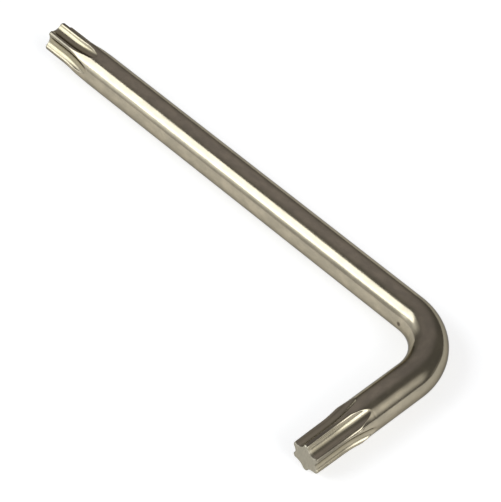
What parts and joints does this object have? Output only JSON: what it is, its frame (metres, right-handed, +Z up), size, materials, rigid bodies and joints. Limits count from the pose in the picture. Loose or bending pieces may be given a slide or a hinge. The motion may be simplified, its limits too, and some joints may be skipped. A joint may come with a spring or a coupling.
{
  "type": "star key",
  "caption": "L-shaped key bent from round nickel-plated steel wire, with a pressed six-lobe star at each end for turning screws with star recesses.",
  "frame": {"origin": "middle of the flat key's outline, on the surface that it lies on", "axes": "+X along the long arm, from its star to the bend; +Y along the short arm, from its star to the bend; +Z up from the surface that it lies on"},
  "size_m": [0.0936, 0.0331, 0.0062],
  "materials": {
    "nickel_plate": "bright nickel plate on drawn steel wire"
  },
  "bodies": {
    "root": {"star_key": "nickel_plate"}
  },
  "joints": []
}
